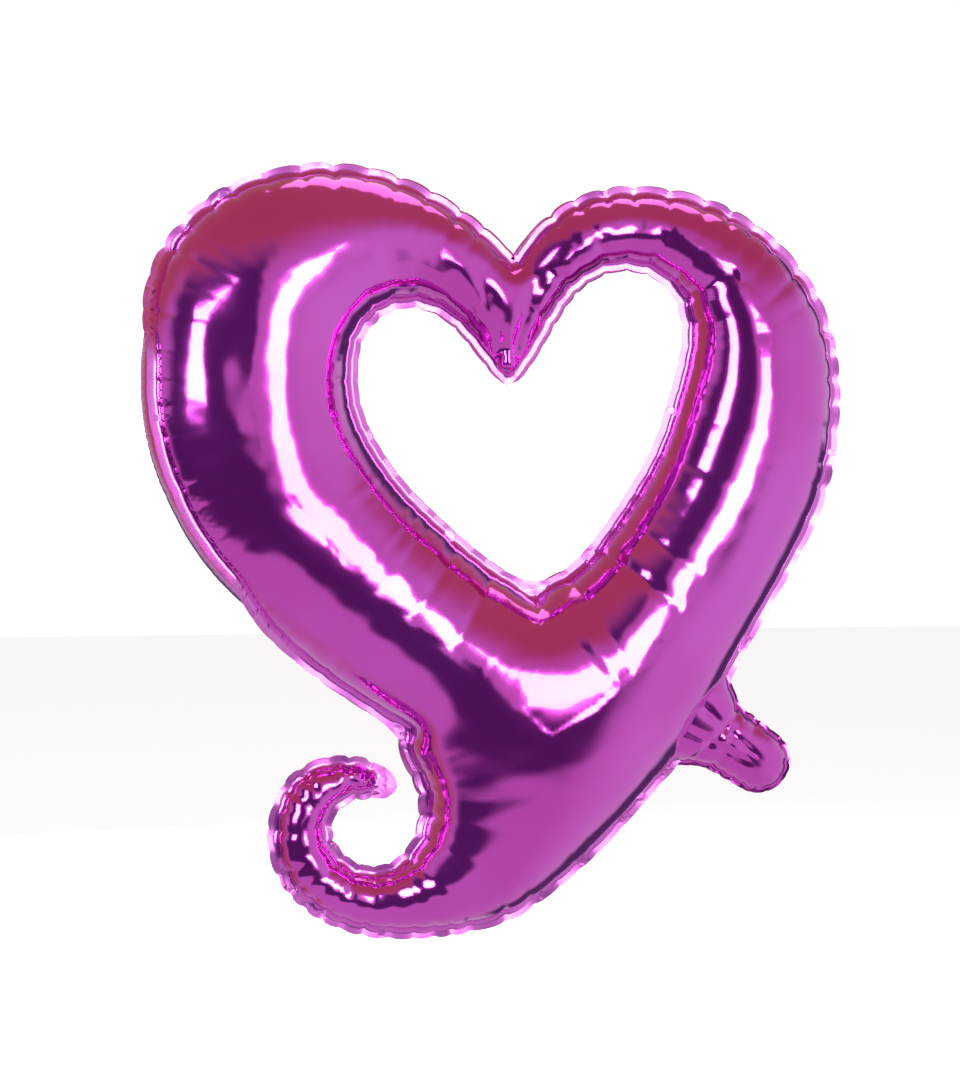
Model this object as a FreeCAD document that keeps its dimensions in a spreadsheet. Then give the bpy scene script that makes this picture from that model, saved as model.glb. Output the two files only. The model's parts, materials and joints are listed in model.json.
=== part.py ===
"""Heart-shaped foil balloon with a curled hook: two films welded flat round their edges, inflated.

Millimetres. +Z is up, the two films meet in the plane Y = 0, and the front film faces -Y.
The heart is drawn as two brush strokes. The left stroke runs from the cleft round the left lobe to
the foot. The right stroke runs from the cleft round the right lobe, under the opening, and curls up
into the hook. A stroke is a row of stations, and a station joins a point of its inner cut edge to a
point of its outer cut edge.
"""
import FreeCAD, Part

import math
import os

from FreeCAD import Placement, Rotation, Vector

doc = FreeCAD.newDocument("HookHeartBalloon")

# ---------------------------------------------------------------- driving dimensions
sheet = doc.addObject("Spreadsheet::Sheet", "Dims")
DIMENSIONS = [
    ("film", 0.4, "foil film, thickened from about 0.04 so that it holds as a solid"),
    ("weld", 0.6, "melted seal layer between the two films"),
    ("seam_width", 6.0, "flat welded margin round every cut edge"),
    ("slim_plumpness", 0.97, "thickness over width of a very narrow tube"),
    ("plumpness_fall", 0.0037, "how much flatter a tube gets for each mm of half-width"),
    ("cleft_pinch", 0.60, "share of its thickness left to the tube in the cleft"),
    ("neck_root_x", 135.0, "middle of the fold line between neck and tail"),
    ("neck_root_z", -108.0, "middle of the fold line between neck and tail"),
    ("neck_angle", -34.0, "direction of the tail, in degrees from +X"),
    ("neck_width", 42.0, "width of the neck at the fold line"),
    ("neck_depth", 28.0, "how far the neck film runs back into the heart"),
    ("neck_flare", 70.0, "width of the neck film where it has run into the heart"),
    ("spans_per_station", 2, "narrow spans that the film is made of between two drawn stations"),
    ("fold_gap", 2.4, "bare film between neck and tail, where the tail bends"),
    ("tail_length", 46.0, "tail, from the fold gap to its tip"),
    ("tail_width", 44.0, "tail, widest, over the margins"),
    ("tail_bulge", 8.0, "half-thickness of the inflated tail"),
    ("valve_film", 0.15, "valve film, thickened from about 0.03"),
    ("valve_gap", 0.05, "half of the space between the closed valve films"),
    ("valve_width", 28.0, "valve film, over its side seals"),
    ("valve_channel", 16.0, "clear channel between the side seals"),
    ("valve_inside", 60.0, "valve film inside the heart"),
    ("valve_outside", 36.0, "valve film in the tail"),
    ("anchor_length", 4.0, "weld that holds a valve film to its foil film"),
    ("passage_width", 30.0, "unwelded way through the neck"),
    ("patch_length", 18.0, "heat-proof print that keeps the valve open at the neck"),
]
for row, (alias, value, note) in enumerate(DIMENSIONS, start=1):
    sheet.set(f"A{row}", alias)
    sheet.set(f"B{row}", str(value))
    sheet.set(f"C{row}", note)
    sheet.setAlias(f"B{row}", alias)
doc.recompute()


def dim(alias):
    return float(sheet.get(alias))


# ---------------------------------------------------------------- outline, as (x, z) pairs
CLEFT_TIP = (8, 96)
CLEFT_TOP = (13, 170)
LEFT_STROKE = [  # inner cut edge, outer cut edge
    (CLEFT_TIP, CLEFT_TOP),
    ((-12, 121), (-12, 193)),
    ((-31, 138), (-46, 213)),
    ((-51, 142), (-82, 223)),
    ((-67, 135), (-124, 221)),
    ((-77, 121), (-166, 203)),
    ((-79, 105), (-195, 166)),
    ((-78, 90), (-205, 122)),
    ((-73, 74), (-205, 78)),
    ((-64, 58), (-195, 40)),
    ((-48, 37), (-173, -1)),
    ((-27, 17), (-141, -36)),
    ((-6, -1), (-107, -68)),
    ((12, -13), (-67, -96)),
]
LEFT_FOOT = ((44, -36), (-34, -118))  # buried in the right stroke
RIGHT_LOBE = [
    (CLEFT_TIP, CLEFT_TOP),
    ((21, 113), (25, 187)),
    ((42, 147), (50, 206)),
    ((64, 163), (92, 212)),
    ((88, 163), (137, 201)),
    ((103, 153), (173, 176)),
    ((110, 138), (195, 145)),
    ((110, 117), (205, 108)),
    ((104, 93), (205, 72)),
    ((95, 65), (197, 30)),
    ((79, 36), (177, -12)),
    ((61, 10), (154, -52)),
    ((44, -8), (133, -90)),
    ((28, -16), (112, -122)),
]
UNDER_HEART = [  # inner points lie inside the left stroke
    ((-3, -45), (95, -141)),
    ((-34, -74), (76, -162)),
]
HOOK = [
    ((-56, -107), (60, -178)),
    ((-47, -125), (40, -195)),
    ((-42, -145), (15, -212)),
    ((-46, -164), (-14, -221)),
    ((-57, -177), (-45, -224)),
    ((-72, -181), (-78, -221)),
    ((-86, -175), (-108, -207)),
    ((-94, -163), (-128, -182)),
    ((-93, -151), (-131, -153)),
    ((-86, -144), (-118, -127)),
    ((-76, -141), (-93, -117)),
    ((-67, -142), (-68, -121)),
]
HOOK_TIP = (-56, -134)
SECTION_SIDES = 12


def flat(point, y=0.0):
    return Vector(point[0], y, point[1])


def spline(points):
    curve = Part.BSplineCurve()
    curve.interpolate([flat(p) for p in points])
    return curve.toShape()


def cut_outline():
    """Face inside the outer cut edge, without the neck."""
    inner_side = [o for _, o in LEFT_STROKE] + [i for i, _ in HOOK] + [HOOK_TIP]
    outer_side = [HOOK_TIP] + [o for _, o in reversed(RIGHT_LOBE + UNDER_HEART + HOOK)]
    return Part.Face(Part.Wire([spline(inner_side), spline(outer_side)]))


def opening_outline():
    """Face inside the heart-shaped hole."""
    left = [i for i, _ in LEFT_STROKE]
    right = [i for i, _ in reversed(RIGHT_LOBE)]
    return Part.Face(Part.Wire([spline(left + right)]))


def slab(face, low, high):
    """The plane face, given thickness between two Y values."""
    moved = face.copy()
    moved.translate(Vector(0, low, 0))
    return moved.extrude(Vector(0, high - low, 0))


def margin_ends(station):
    """A station's two points, moved in from the cut edges over the welded margin."""
    inner, outer = flat(station[0]), flat(station[1])
    along = (outer - inner).normalize()
    return inner + along * dim("seam_width"), outer - along * dim("seam_width")


def half_ellipse(station, wall, pinch):
    """Closed wire of the tube's front half at a station, thinner all round by wall."""
    inner, outer = margin_ends(station)
    along = (outer - inner).normalize()
    reach = (outer - inner).Length / 2
    rise = reach * (dim("slim_plumpness") - dim("plumpness_fall") * reach) * pinch
    middle = (inner + outer) / 2
    half_width, half_height = reach - wall, rise - wall
    points = []
    for step in range(SECTION_SIDES + 1):
        turn = math.pi * step / SECTION_SIDES
        points.append(
            middle
            - along * half_width * math.cos(turn)
            + Vector(0, -half_height * math.sin(turn), 0)
        )
    return Part.makePolygon(points + [points[0]])


def refined(stations):
    """Stations at closer, even steps along smooth curves through the drawn ones."""
    count = int(dim("spans_per_station"))
    sides = []
    for side in (0, 1):
        curve = Part.BSplineCurve()
        curve.interpolate([flat(station[side]) for station in stations])
        knots = curve.getKnots()
        points = [
            curve.value(low + (high - low) * step / count)
            for low, high in zip(knots, knots[1:])
            for step in range(count)
        ]
        sides.append([(point.x, point.z) for point in points + [curve.value(knots[-1])]])
    return list(zip(*sides))


def stroke(stations, wall):
    """Front half of an inflated stroke, as a solid: narrow ruled spans, lower beside the cleft."""
    eased = 2 * int(dim("spans_per_station"))
    wires = []
    for number, station in enumerate(refined(stations)):
        pinch = dim("cleft_pinch") + (1 - dim("cleft_pinch")) * min(1, number / eased)
        wires.append(half_ellipse(station, wall, pinch))
    return Part.makeLoft(wires, True, True)


def add_shape(label, shape):
    """A document object whose shape is made here from the sheet's values."""
    feature = doc.addObject("Part::Feature", label)
    feature.Shape = shape
    return feature


def add_cut(label, base, tool):
    cut = doc.addObject("Part::Cut", label)
    cut.Base, cut.Tool = base, tool
    return cut


def add_fuse(label, shapes):
    fuse = doc.addObject("Part::MultiFuse", label)
    fuse.Shapes = shapes
    return fuse


# ---------------------------------------------------------------- neck frame: +X out along the tail
NECK = Placement(
    Vector(dim("neck_root_x"), 0, dim("neck_root_z")),
    Rotation(Vector(0, 1, 0), -dim("neck_angle")),
)
HALF_GAP = dim("fold_gap") / 2
HALF_WELD = dim("weld") / 2


def in_neck(shape):
    """The shape, drawn in the neck frame, where it belongs in the balloon."""
    placed = shape.copy()
    placed.Placement = NECK.multiply(placed.Placement)
    return placed


def neck_outline():
    """Face of the neck film, flaring from the fold line back into the heart."""
    half_fold, half_flare = dim("neck_width") / 2, dim("neck_flare") / 2
    waist = (-0.55 * dim("neck_depth"), half_fold + 0.15 * (half_flare - half_fold))
    side = {}
    for sign in (1, -1):
        side[sign] = Part.Arc(
            flat((-HALF_GAP, sign * half_fold)),
            flat((waist[0], sign * waist[1])),
            flat((-dim("neck_depth"), sign * half_flare)),
        ).toShape()
    fold = Part.makeLine(flat((-HALF_GAP, -half_fold)), flat((-HALF_GAP, half_fold)))
    back = Part.makeLine(
        flat((-dim("neck_depth"), half_flare)), flat((-dim("neck_depth"), -half_flare))
    )
    return Part.Face(Part.Wire([fold, side[1], back, side[-1]]))


def neck_box(label, start, length, width, low, height):
    """Box in the neck frame: start and low are values, the sizes are expressions on the sheet."""
    box = doc.addObject("Part::Box", label)
    box.setExpression("Length", length)
    box.setExpression("Height", width)
    box.setExpression("Width", height)
    doc.recompute()
    corner = Placement(Vector(start, low, -float(box.Height) / 2), Rotation())
    box.Placement = NECK.multiply(corner)
    return box


# ---------------------------------------------------------------- foil films
neck_face = in_neck(neck_outline())
opening_face = opening_outline()
film_face = cut_outline()
all_right = RIGHT_LOBE + UNDER_HEART + HOOK
all_left = LEFT_STROKE + [LEFT_FOOT]


def film_plate(low, high):
    """Flat film over the whole outline and the neck, less the opening."""
    whole = slab(film_face, low, high).fuse(slab(neck_face, low, high))
    return whole.cut(slab(opening_face, low, high))


def footprint(stations, inset):
    """Face under an inflated stroke, smaller by inset on both sides."""
    inner_side, outer_side = [], []
    for station in refined(stations):
        inner, outer = margin_ends(station)
        step = (outer - inner).normalize() * inset
        inner_side.append(inner + step)
        outer_side.append(outer - step)
    ring = inner_side + outer_side[::-1]
    return Part.Face(Part.makePolygon(ring + [ring[0]]))


def shortened(stations):
    """The stroke stopped just before its last station, so that its hollow stays closed there."""
    before, last = stations[-2], stations[-1]
    stop = [
        tuple(0.15 * a + 0.85 * b for a, b in zip(start, end))
        for start, end in zip(before, last)
    ]
    return stations[:-1] + [tuple(stop)]


right_hollow = shortened(all_right)
skin = add_fuse(
    "inflated_skin",
    [
        add_shape("left_stroke", stroke(all_left, 0)),
        add_shape("right_stroke", stroke(all_right, 0)),
    ],
)
cavity = add_fuse(
    "gas_space",
    [
        add_shape("left_cavity", stroke(all_left, dim("film"))),
        add_shape("right_cavity", stroke(right_hollow, dim("film"))),
    ],
)
seam_space = doc.addObject("Part::Box", "seam_space")
seam_space.Length, seam_space.Height = 600, 600
seam_space.setExpression("Width", "Dims.weld / 2 + 1")
seam_space.Placement.Base = Vector(-300, -HALF_WELD, -300)
front_half = add_cut("front_half", add_cut("hollow_skin", skin, cavity), seam_space)

# the flat margin starts inside the thickness of the inflated wall, so the two join
margin_low, margin_high = -HALF_WELD - dim("film"), -HALF_WELD
margin = film_plate(margin_low, margin_high).cut(
    [
        slab(footprint(all_left, dim("film") / 2), margin_low - 1, margin_high + 1),
        slab(footprint(right_hollow, dim("film") / 2), margin_low - 1, margin_high + 1),
    ]
)
front_panel = add_fuse("front_panel", [front_half, add_shape("front_margin", margin)])
rear_panel = doc.addObject("Part::Mirroring", "rear_panel")
rear_panel.Source = front_panel
rear_panel.Normal = Vector(0, 1, 0)

# ---------------------------------------------------------------- welds of the heart
passage = neck_box(
    "valve_passage", -60, "60", "Dims.passage_width", -HALF_WELD, "Dims.weld"
)
doc.recompute()
weld_layer = film_plate(-HALF_WELD, HALF_WELD).cut(
    [
        slab(footprint(all_left, 0), -HALF_WELD, HALF_WELD),
        slab(footprint(all_right, 0), -HALF_WELD, HALF_WELD),
        passage.Shape,
    ]
)
around_opening = slab(opening_face, -HALF_WELD, HALF_WELD)
welds = sorted(weld_layer.Solids, key=lambda solid: solid.Volume)
opening_weld = [s for s in welds if s.distToShape(around_opening)[0] < 0.01]
outer_weld = [s for s in welds if s.distToShape(around_opening)[0] >= 0.01]
add_shape("outer_seam", outer_weld[-1])
add_shape("opening_seam", opening_weld[-1])

# ---------------------------------------------------------------- tail, drawn in the neck frame


def tail_outline():
    """Tongue-shaped face: straight sides, then half a circle."""
    half = dim("tail_width") / 2
    fold = dim("neck_width") / 2
    tip = HALF_GAP + dim("tail_length")
    shoulder = tip - half
    return Part.Face(
        Part.Wire(
            [
                Part.makeLine(flat((HALF_GAP, -fold)), flat((HALF_GAP, fold))),
                Part.makeLine(flat((HALF_GAP, fold)), flat((shoulder, half))),
                Part.Arc(
                    flat((shoulder, half)), flat((tip, 0)), flat((shoulder, -half))
                ).toShape(),
                Part.makeLine(flat((shoulder, -half)), flat((HALF_GAP, -fold))),
            ]
        )
    )


TAIL_STATIONS = [  # along the tail, half-width of the bulge, its share of the full rise
    (2.2, 14.0, 0.12),
    (6.0, 14.5, 0.50),
    (12.0, 15.3, 0.85),
    (20.0, 15.8, 1.00),
    (27.0, 15.0, 0.86),
    (33.0, 12.5, 0.46),
    (36.5, 10.5, 0.12),
]


def tail_bulge(wall):
    """Front half of the inflated tail, as a solid."""
    wires = []
    for along, half_width, share in TAIL_STATIONS:
        rise = dim("tail_bulge") * share - wall
        reach = half_width - wall
        ends = Vector(along, 0, -reach), Vector(along, 0, reach)
        arc = Part.Arc(ends[0], Vector(along, -rise, 0), ends[1]).toShape()
        wires.append(Part.Wire([arc, Part.makeLine(ends[1], ends[0])]))
    return Part.makeLoft(wires, True, False)


tail_face = tail_outline()
tail_margin = slab(tail_face, -HALF_WELD - dim("film"), -HALF_WELD)
tail_skin = tail_bulge(0).fuse(tail_margin)
tail_void = tail_bulge(dim("film")).fuse(
    Part.makeBox(120, HALF_WELD, 120, Vector(-20, -HALF_WELD, -60))
)
tail_front = add_shape("tail_front_film", in_neck(tail_skin.cut(tail_void)))
tail_rear = doc.addObject("Part::Mirroring", "tail_rear_film")
tail_rear.Source = tail_front
tail_rear.Normal = Vector(0, 1, 0)

clear_width = dim("tail_width") - 2 * dim("seam_width")
mouth_start = HALF_GAP + dim("valve_outside") - dim("anchor_length")
tail_weld = slab(tail_face, -HALF_WELD, HALF_WELD).cut(
    [
        Part.makeBox(120, 10, clear_width, Vector(-20, -5, -clear_width / 2)),
        Part.makeBox(60, 10, 80, Vector(mouth_start, -5, -40)),
    ]
)
add_shape("tail_side_seams", in_neck(tail_weld))

# ---------------------------------------------------------------- valve: two thin films, edge-sealed
GAP, FILM = dim("valve_gap"), dim("valve_film")
NECK_INSIDE = 19.0  # from the fold line to where the gas space starts
SPANS = {  # start along the neck frame, length as an expression
    "neck": (-NECK_INSIDE, f"{NECK_INSIDE} - Dims.fold_gap / 2"),
    "flap": (-NECK_INSIDE - 0.5 - dim("valve_inside"), "Dims.valve_inside"),
    "mouth": (HALF_GAP, "Dims.valve_outside"),
}
for part, (start, length) in SPANS.items():
    for side, low in (("front", -GAP - FILM), ("rear", GAP)):
        neck_box(f"valve_{part}_{side}", start, length, "Dims.valve_width", low, "Dims.valve_film")
    edge = (dim("valve_width") + dim("valve_channel")) / 4
    seals = []
    for sign in (1, -1):
        seal = neck_box(
            f"valve_{part}_seal_{'upper' if sign > 0 else 'lower'}",
            start,
            length,
            "(Dims.valve_width - Dims.valve_channel) / 2",
            -GAP * (0.6 if part == "flap" else 1),
            "Dims.valve_gap * " + ("1.6" if part == "flap" else "2"),
        )
        seal.Placement = seal.Placement.multiply(Placement(Vector(0, 0, sign * edge), Rotation()))
        seals.append(seal)
    add_fuse(f"valve_{part}_seals", seals)

neck_box(
    "release_patch",
    -HALF_GAP - 0.5 - dim("patch_length"),
    "Dims.patch_length - 0.5",
    "Dims.valve_channel",
    -GAP,
    "2 * Dims.valve_gap",
)
anchors = []
for side, low in (("front", -HALF_WELD), ("rear", GAP + FILM)):
    anchors.append(
        neck_box(
            f"anchor_{side}",
            mouth_start,
            "Dims.anchor_length",
            "Dims.valve_width",
            low,
            "Dims.weld / 2 - Dims.valve_gap - Dims.valve_film",
        )
    )
add_fuse("valve_anchor_welds", anchors)

# ---------------------------------------------------------------- check and write
SUBPARTS = [
    "front_panel",
    "rear_panel",
    "outer_seam",
    "opening_seam",
    "tail_front_film",
    "tail_rear_film",
    "tail_side_seams",
    "valve_neck_front",
    "valve_neck_rear",
    "valve_neck_seals",
    "valve_flap_front",
    "valve_flap_rear",
    "valve_flap_seals",
    "valve_mouth_front",
    "valve_mouth_rear",
    "valve_mouth_seals",
    "release_patch",
    "valve_anchor_welds",
]
doc.recompute()
for item in doc.Objects:
    if "Invalid" in item.State or "Error" in item.State:
        raise RuntimeError(f"{item.Label} failed: {item.State}")
os.makedirs("parts", exist_ok=True)
for label in SUBPARTS:
    shape = doc.getObjectsByLabel(label)[0].Shape
    if shape.isNull() or not shape.isValid() or not shape.Solids:
        raise RuntimeError(f"{label} has no valid solid")
    shape.exportStep(f"parts/{label}.step")
    print(f"{label}: {len(shape.Solids)} solid(s), {shape.Volume / 1000:.3f} cm3")
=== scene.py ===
import json
import math

import bpy
import numpy as np
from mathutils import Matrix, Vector
from mathutils.geometry import delaunay_2d_cdt
from mathutils.kdtree import KDTree


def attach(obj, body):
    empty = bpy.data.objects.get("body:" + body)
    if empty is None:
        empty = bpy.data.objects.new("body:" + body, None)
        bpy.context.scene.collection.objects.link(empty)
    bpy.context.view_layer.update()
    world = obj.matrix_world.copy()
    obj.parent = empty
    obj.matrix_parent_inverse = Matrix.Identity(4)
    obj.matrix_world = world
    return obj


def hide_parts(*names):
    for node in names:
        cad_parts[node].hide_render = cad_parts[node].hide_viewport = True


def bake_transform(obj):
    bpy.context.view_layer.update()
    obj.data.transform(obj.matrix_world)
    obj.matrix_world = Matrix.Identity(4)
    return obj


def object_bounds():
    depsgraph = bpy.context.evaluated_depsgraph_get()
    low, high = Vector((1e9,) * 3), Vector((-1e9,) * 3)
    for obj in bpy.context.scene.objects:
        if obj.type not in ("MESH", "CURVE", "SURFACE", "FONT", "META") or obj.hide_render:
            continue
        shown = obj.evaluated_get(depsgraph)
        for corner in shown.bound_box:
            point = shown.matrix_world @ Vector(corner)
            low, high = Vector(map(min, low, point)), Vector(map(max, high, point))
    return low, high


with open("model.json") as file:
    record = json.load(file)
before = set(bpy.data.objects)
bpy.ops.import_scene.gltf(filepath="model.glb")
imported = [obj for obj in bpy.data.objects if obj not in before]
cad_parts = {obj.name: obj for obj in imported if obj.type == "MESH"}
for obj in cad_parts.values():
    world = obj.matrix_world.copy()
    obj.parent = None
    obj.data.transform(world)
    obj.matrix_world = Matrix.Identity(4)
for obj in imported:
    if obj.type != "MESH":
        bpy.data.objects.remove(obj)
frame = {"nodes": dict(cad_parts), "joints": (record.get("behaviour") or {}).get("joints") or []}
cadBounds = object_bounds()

# the joints give the fold line and the tail's direction
joints = {joint["name"]: joint for joint in frame["joints"]}
foldPoint = np.array(joints["tail_fold"]["pos_m"])
foldAxis = np.array(joints["tail_fold"]["axis"])
tailOut = np.cross([0.0, 1.0, 0.0], foldAxis)


# outlines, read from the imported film
def panelLoops(node):
    mesh = frame["nodes"][node].data
    places = np.empty(len(mesh.vertices) * 3)
    mesh.vertices.foreach_get("co", places)
    places = places.reshape(-1, 3)
    mesh.calc_loop_triangles()
    corners = np.empty(len(mesh.loop_triangles) * 3, np.int64)
    mesh.loop_triangles.foreach_get("vertices", corners)
    corners = corners.reshape(-1, 3)
    seamLevel = places[:, 1].max()  # the weld's side of the front film
    flat = (np.abs(places[corners, 1] - seamLevel) < 2e-6).all(axis=1)
    keys, same = np.unique(np.round(places * 1e7).astype(np.int64), axis=0, return_inverse=True)
    corners = same.reshape(-1)[corners[flat]]
    spots = keys[:, [0, 2]] / 1e7
    edges = np.concatenate([corners[:, [0, 1]], corners[:, [1, 2]], corners[:, [2, 0]]])
    ends, count = np.unique(np.sort(edges, axis=1), axis=0, return_counts=True)
    links = {}
    for a, b in ends[count == 1]:
        links.setdefault(a, []).append(b)
        links.setdefault(b, []).append(a)
    loops = []
    while links:
        start = next(iter(links))
        loop, here = [start], start
        while links.get(here):
            after = links[here].pop()
            links[after].remove(here)
            if not links[here]:
                del links[here]
            if after == start:
                break
            loop.append(after)
            here = after
        if not links.get(here, True):
            links.pop(here, None)
        links = {k: v for k, v in links.items() if v}
        if len(loop) > 30:
            loops.append(spots[loop])
    return sorted(loops, key=lambda loop: -np.ptp(loop[:, 0]))


def smoothStep(value, low, high):
    t = np.clip((value - low) / (high - low), 0, 1)
    return t * t * (3 - 2 * t)


def evenly(loop, step, soften):
    # a smooth curve through the loop's points, then equal steps along it, its corners eased
    before, after = np.roll(loop, 1, 0), np.roll(loop, -1, 0)
    chord = np.linalg.norm(after - loop, axis=1)
    slopeHere = (after - before) / (chord + np.roll(chord, 1))[:, None]
    slopeNext = np.roll(slopeHere, -1, 0)
    turn = (
        np.einsum("ij,ij->i", loop - before, after - loop)
        / np.maximum(chord * np.roll(chord, 1), 1e-12)
    )
    sharp = turn < 0.8
    fine = []
    for i in range(len(loop)):
        count = max(2, int(chord[i] / 0.0005))
        t = (np.arange(count) / count)[:, None]
        if sharp[i] or sharp[(i + 1) % len(loop)]:
            fine.append(loop[i] * (1 - t) + after[i] * t)
            continue
        h00, h10 = 2 * t**3 - 3 * t**2 + 1, t**3 - 2 * t**2 + t
        h01, h11 = -2 * t**3 + 3 * t**2, t**3 - t**2
        fine.append(
            h00 * loop[i] + h10 * chord[i] * slopeHere[i]
            + h01 * after[i] + h11 * chord[i] * slopeNext[i]
        )
    fine = np.concatenate(fine)

    def respace(points, count):
        closed = np.vstack([points, points[:1]])
        run = np.concatenate([[0], np.cumsum(np.linalg.norm(np.diff(closed, axis=0), axis=1))])
        at = np.linspace(0, run[-1], count, endpoint=False)
        return np.stack([np.interp(at, run, closed[:, k]) for k in (0, 1)], axis=1)

    length = np.linalg.norm(fine - np.roll(fine, 1, 0), axis=1).sum()
    dense = respace(fine, int(length / 0.0004))
    wide = max(1, int(soften / 0.0004))
    kernel = np.exp(-0.5 * (np.arange(-3 * wide, 3 * wide + 1) / wide) ** 2)
    kernel /= kernel.sum()
    padded = np.concatenate([dense[-3 * wide:], dense, dense[:3 * wide]])
    dense = np.stack([np.convolve(padded[:, k], kernel, mode="valid") for k in (0, 1)], axis=1)
    return respace(dense, max(8, int(round(length / step))))


def insideLoop(points, loop):
    inside = np.zeros(len(points), bool)
    ax, az = loop[:, 0], loop[:, 1]
    bx, bz = np.roll(ax, -1), np.roll(az, -1)
    for i in range(0, len(points), 2000):
        px, pz = points[i:i + 2000, :1], points[i:i + 2000, 1:]
        spans = (az > pz) != (bz > pz)
        with np.errstate(divide="ignore", invalid="ignore"):
            cross = (bx - ax) * (pz - az) / (bz - az) + ax
        inside[i:i + 2000] = (spans & (px < cross)).sum(axis=1) % 2 == 1
    return inside


def kdOf(points):
    tree = KDTree(len(points))
    for i, p in enumerate(points):
        tree.insert((p[0], p[1], 0), i)
    tree.balance()
    return tree


def outwardNormals(loop, fromFilm):
    along = np.roll(loop, -1, 0) - np.roll(loop, 1, 0)
    along /= np.linalg.norm(along, axis=1)[:, None]
    side = np.stack([along[:, 1], -along[:, 0]], axis=1)
    area = 0.5 * np.sum(loop[:, 0] * np.roll(loop[:, 1], -1) - np.roll(loop[:, 0], -1) * loop[:, 1])
    return side * np.sign(area) * fromFilm


def hexPoints(low, high, step):
    rows = np.arange(low[1], high[1], step * math.sqrt(3) / 2)
    found = []
    for i, z in enumerate(rows):
        xs = np.arange(low[0] + (i % 2) * step / 2, high[0], step)
        found.append(np.stack([xs, np.full(len(xs), z)], axis=1))
    return np.concatenate(found)


def triangulate(loops, hole, welds, weldSides):
    # loops are closed outlines that stay as edges; the film lies inside the first and outside the hole
    step = filmShape["gridStep"]
    start, edges, points = 0, [], []
    for loop in loops:
        n = len(loop)
        edges += [(start + i, start + (i + 1) % n) for i in range(n)]
        points.append(loop)
        start += n
    extra, kept = [], []
    for weld, side in zip(welds, weldSides):
        normals = outwardNormals(weld, side)
        for row, inset in enumerate(filmShape["insets"]):
            shifted = weld - normals * inset
            if row % 2 == 0:
                shifted = (shifted + np.roll(shifted, -1, 0)) / 2
            extra.append((inset, shifted))
    weldTree = kdOf(np.concatenate([evenly(weld, 0.0005, 0.0005) for weld in welds]))
    for inset, shifted in extra:
        good = [p for p in shifted if weldTree.find((p[0], p[1], 0))[2] > 0.82 * inset]
        kept.append(np.array(good))
    rows = np.concatenate(kept)
    rowTree = kdOf(np.concatenate([rows, *loops]))
    grid = hexPoints(loops[0].min(0), loops[0].max(0), step)
    grid = grid[insideLoop(grid, loops[0])]
    grid = grid[~insideLoop(grid, hole)]
    grid = np.array([p for p in grid if rowTree.find((p[0], p[1], 0))[2] > 0.72 * step])
    points = np.concatenate(points + [rows, grid])
    result = delaunay_2d_cdt([Vector(p) for p in points], edges, [], 0, 1e-9)
    places = np.array([tuple(v) for v in result[0]])
    triangles = np.array([f for f in result[2] if len(f) == 3])
    centres = places[triangles].mean(axis=1)
    keep = insideLoop(centres, loops[0]) & ~insideLoop(centres, hole)
    return places, triangles[keep]


def halve(places, triangles):
    # every edge gets a middle point, every triangle becomes four
    edges = np.concatenate([triangles[:, [0, 1]], triangles[:, [1, 2]], triangles[:, [2, 0]]])
    edges = np.sort(edges, axis=1)
    unique, where = np.unique(edges, axis=0, return_inverse=True)
    where = where.reshape(-1)
    middle = places[unique].mean(axis=1)
    n, m = len(triangles), len(places)
    ab, bc, ca = where[:n] + m, where[n:2 * n] + m, where[2 * n:] + m
    a, b, c = triangles.T
    fine = np.concatenate([
        np.stack([a, ab, ca], 1), np.stack([ab, b, bc], 1),
        np.stack([ca, bc, c], 1), np.stack([ab, bc, ca], 1),
    ])
    return np.concatenate([places, middle]), fine


def membrane(places, triangles, held, load):
    # solves for a film under even load, held at the marked points
    a, b, c = (places[triangles[:, k]] for k in range(3))
    area = 0.5 * np.abs((b - a)[:, 0] * (c - a)[:, 1] - (b - a)[:, 1] * (c - a)[:, 0])
    area = np.maximum(area, 1e-14)
    sides = [c - b, a - c, b - a]
    rows, cols, weights = [], [], []
    for i in range(3):
        for j in range(3):
            rows.append(triangles[:, i])
            cols.append(triangles[:, j])
            weights.append(np.einsum("ij,ij->i", sides[i], sides[j]) / (4 * area))
    rows, cols, weights = map(np.concatenate, (rows, cols, weights))
    n = len(places)
    free = ~held

    def apply(v):
        return np.bincount(rows, weights * v[cols], n) * free

    push = np.bincount(triangles.reshape(-1), np.repeat(area / 3, 3), n) * load * free
    diagonal = np.bincount(rows[rows == cols], weights[rows == cols], n)
    diagonal[diagonal <= 0] = 1
    u = np.zeros(n)
    r = push.copy()
    z = r / diagonal
    p = z.copy()
    rz = r @ z
    for _ in range(2500):
        q = apply(p)
        alpha = rz / (p @ q)
        u += alpha * p
        r -= alpha * q
        if np.abs(r).max() < 1e-6 * np.abs(push).max():
            break
        z = r / diagonal
        rz, old = r @ z, rz
        p = z + (rz / old) * p
    return u, area


def slopeSquared(places, triangles, area, u):
    a, b, c = (places[triangles[:, k]] for k in range(3))
    ua, ub, uc = (u[triangles[:, k]] for k in range(3))
    grad = (
        (ua[:, None] * (c - b) + ub[:, None] * (a - c) + uc[:, None] * (b - a))
        / (2 * area[:, None])
    )
    g = (grad**2).sum(axis=1) * area
    n = len(places)
    total = np.bincount(triangles.reshape(-1), np.repeat(g, 3), n)
    share = np.bincount(triangles.reshape(-1), np.repeat(area, 3), n)
    return total / np.maximum(share, 1e-14)


def vertexNormals(places, triangles):
    a, b, c = (places[triangles[:, k]] for k in range(3))
    face = np.cross(b - a, c - a)
    normals = np.zeros_like(places)
    for k in range(3):
        for axis in range(3):
            normals[:, axis] += np.bincount(triangles[:, k], face[:, axis], len(places))
    return normals / np.maximum(np.linalg.norm(normals, axis=1), 1e-15)[:, None]


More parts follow.
